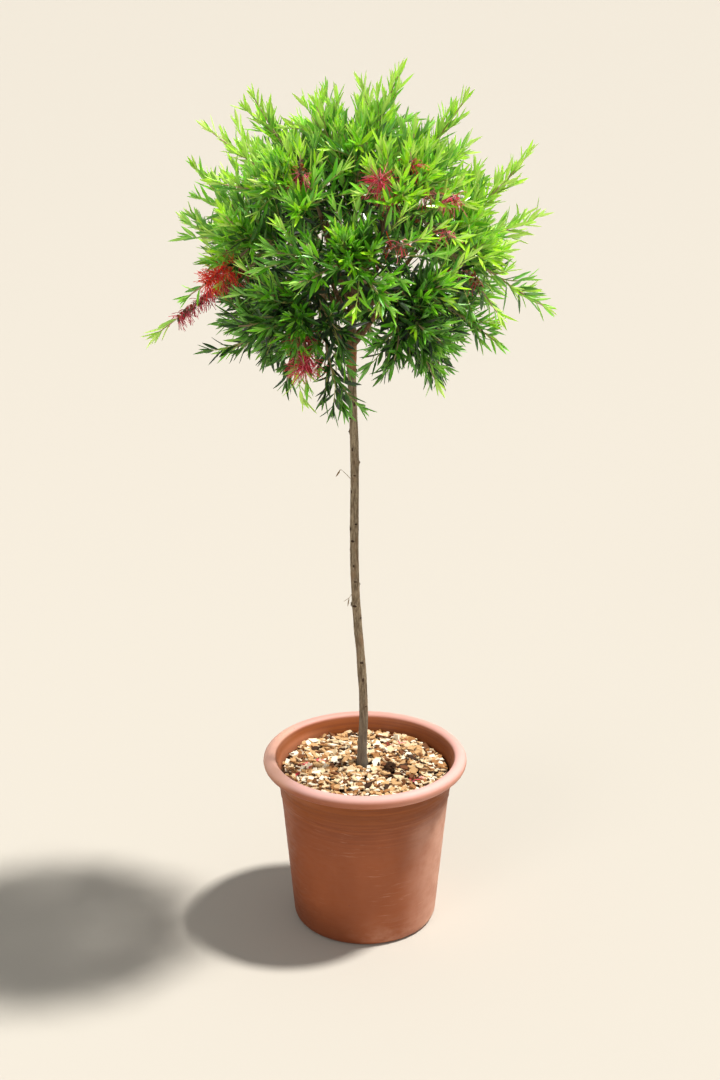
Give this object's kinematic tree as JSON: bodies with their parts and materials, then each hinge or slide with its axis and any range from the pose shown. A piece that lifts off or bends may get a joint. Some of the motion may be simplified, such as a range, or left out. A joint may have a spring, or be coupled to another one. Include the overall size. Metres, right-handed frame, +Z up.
{
  "type": "potted standard shrub",
  "caption": "Red-flowered bottlebrush shrub trained as a lollipop standard: round leafy crown on a slim bare trunk, in a round tapered plastic pot with a rolled rim.",
  "frame": {"origin": "centre of the pot's flat underside", "axes": "+Z up; -Y towards the side that faces the viewer; +X to that viewer's right"},
  "size_m": [0.5021, 0.432, 1.1547],
  "materials": {
    "pot_plastic": "matte terracotta-coloured plastic",
    "bark_chips": "loose bark and wood chips",
    "trunk_bark": "rough grey-brown bark",
    "bough_bark": "flaky brown bark",
    "foliage": "satin green leaves"
  },
  "bodies": {
    "root": {"pot": "pot_plastic", "pot_filling": "bark_chips", "trunk": "trunk_bark", "bough_skirt_1": "bough_bark", "bough_skirt_2": "bough_bark", "bough_skirt_3": "bough_bark", "bough_skirt_4": "bough_bark", "bough_skirt_5": "bough_bark", "bough_waist_1": "bough_bark", "bough_waist_2": "bough_bark", "bough_waist_3": "bough_bark", "bough_waist_4": "bough_bark", "bough_waist_5": "bough_bark", "bough_shoulder_1": "bough_bark", "bough_shoulder_2": "bough_bark", "bough_shoulder_3": "bough_bark", "bough_shoulder_4": "bough_bark", "foliage_skirt_1": "foliage", "foliage_skirt_2": "foliage", "foliage_skirt_3": "foliage", "foliage_skirt_4": "foliage", "foliage_skirt_5": "foliage", "foliage_waist_1": "foliage", "foliage_waist_2": "foliage", "foliage_waist_3": "foliage", "foliage_waist_4": "foliage", "foliage_waist_5": "foliage", "foliage_shoulder_1": "foliage", "foliage_shoulder_2": "foliage", "foliage_shoulder_3": "foliage", "foliage_shoulder_4": "foliage", "foliage_top": "foliage"}
  },
  "joints": []
}
